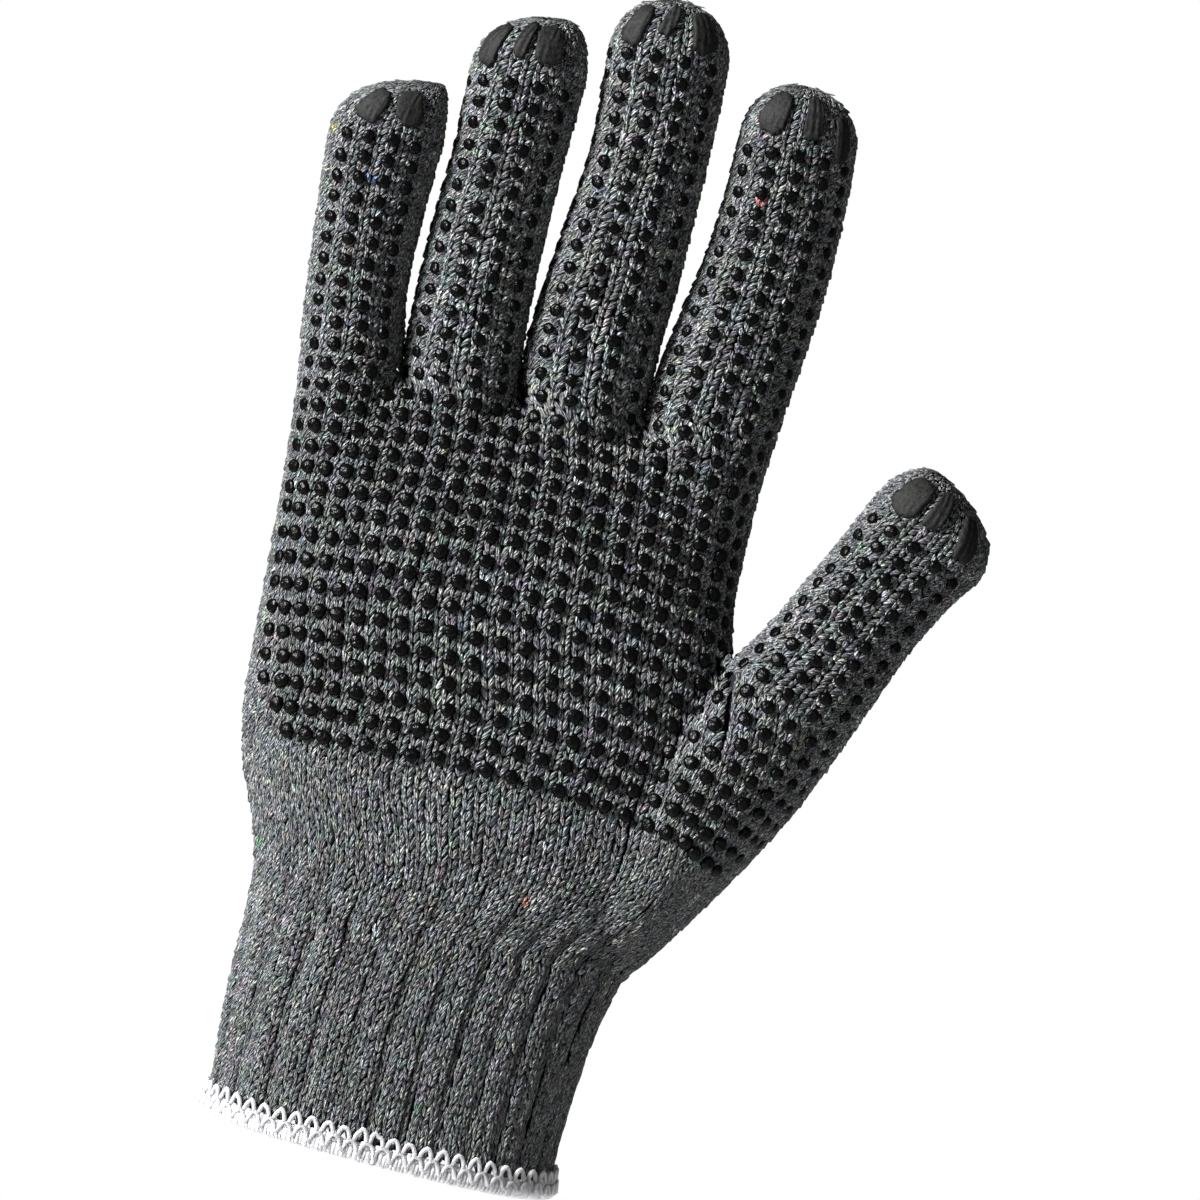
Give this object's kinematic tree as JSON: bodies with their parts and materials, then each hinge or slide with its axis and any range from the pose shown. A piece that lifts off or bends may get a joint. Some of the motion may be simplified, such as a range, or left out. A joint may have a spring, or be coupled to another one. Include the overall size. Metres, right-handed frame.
{
  "type": "pvc dotted knit glove",
  "caption": "Seamless knit work glove for the right hand, palm side with grip dots and flat fingertip pads, stretch cuff and an overlocked wrist hem, in its worn form.",
  "frame": {"origin": "centre of the wrist opening, at the lower edge of the hem", "axes": "+Z from the wrist to the fingertips, -Y out of the palm, +X to the thumb's side"},
  "size_m": [0.1511, 0.0497, 0.2455],
  "materials": {
    "grey_yarn": "matt heather knit",
    "white_yarn": "soft thread",
    "black_grip": "soft moulded vinyl, low sheen"
  },
  "bodies": {
    "root": {"hem": "white_yarn", "cuff": "grey_yarn", "hand": "grey_yarn", "thumb": "grey_yarn", "little_finger": "grey_yarn", "ring_finger": "grey_yarn", "middle_finger": "grey_yarn", "index_finger": "grey_yarn", "little_pad_outer": "black_grip", "little_pad_inner": "black_grip", "ring_pad_outer": "black_grip", "ring_pad_middle": "black_grip", "ring_pad_inner": "black_grip", "middle_pad_outer": "black_grip", "middle_pad_middle": "black_grip", "middle_pad_inner": "black_grip", "index_pad_outer": "black_grip", "index_pad_middle": "black_grip", "index_pad_inner": "black_grip", "thumb_pad_outer": "black_grip", "thumb_pad_middle": "black_grip", "thumb_pad_inner": "black_grip"}
  },
  "joints": []
}
